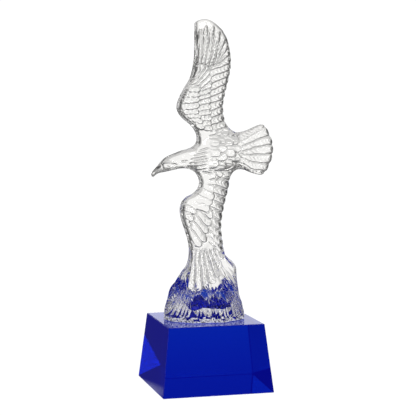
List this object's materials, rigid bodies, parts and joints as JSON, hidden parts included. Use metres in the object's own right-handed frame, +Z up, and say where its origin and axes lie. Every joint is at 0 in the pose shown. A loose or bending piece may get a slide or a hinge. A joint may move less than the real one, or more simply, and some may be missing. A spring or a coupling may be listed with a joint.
{
  "type": "crystal eagle figurine on a tapered block",
  "caption": "Clear cast crystal eagle in flight, one wing up and one down onto a fluted rock foot, on a tapered cobalt blue crystal block.",
  "frame": {"origin": "centre of the block's underside, which the whole piece stands on", "axes": "+Z up along the longest extent, -Y out of the carved front, +X towards the eagle's tail"},
  "size_m": [0.1158, 0.1018, 0.3329],
  "materials": {
    "clear crystal": "clear colourless lead crystal, cast and fire polished",
    "cobalt crystal": "deep cobalt blue crystal with flat polished faces"
  },
  "bodies": {
    "root": {"eagle": "clear crystal", "plinth": "cobalt crystal"}
  },
  "joints": []
}
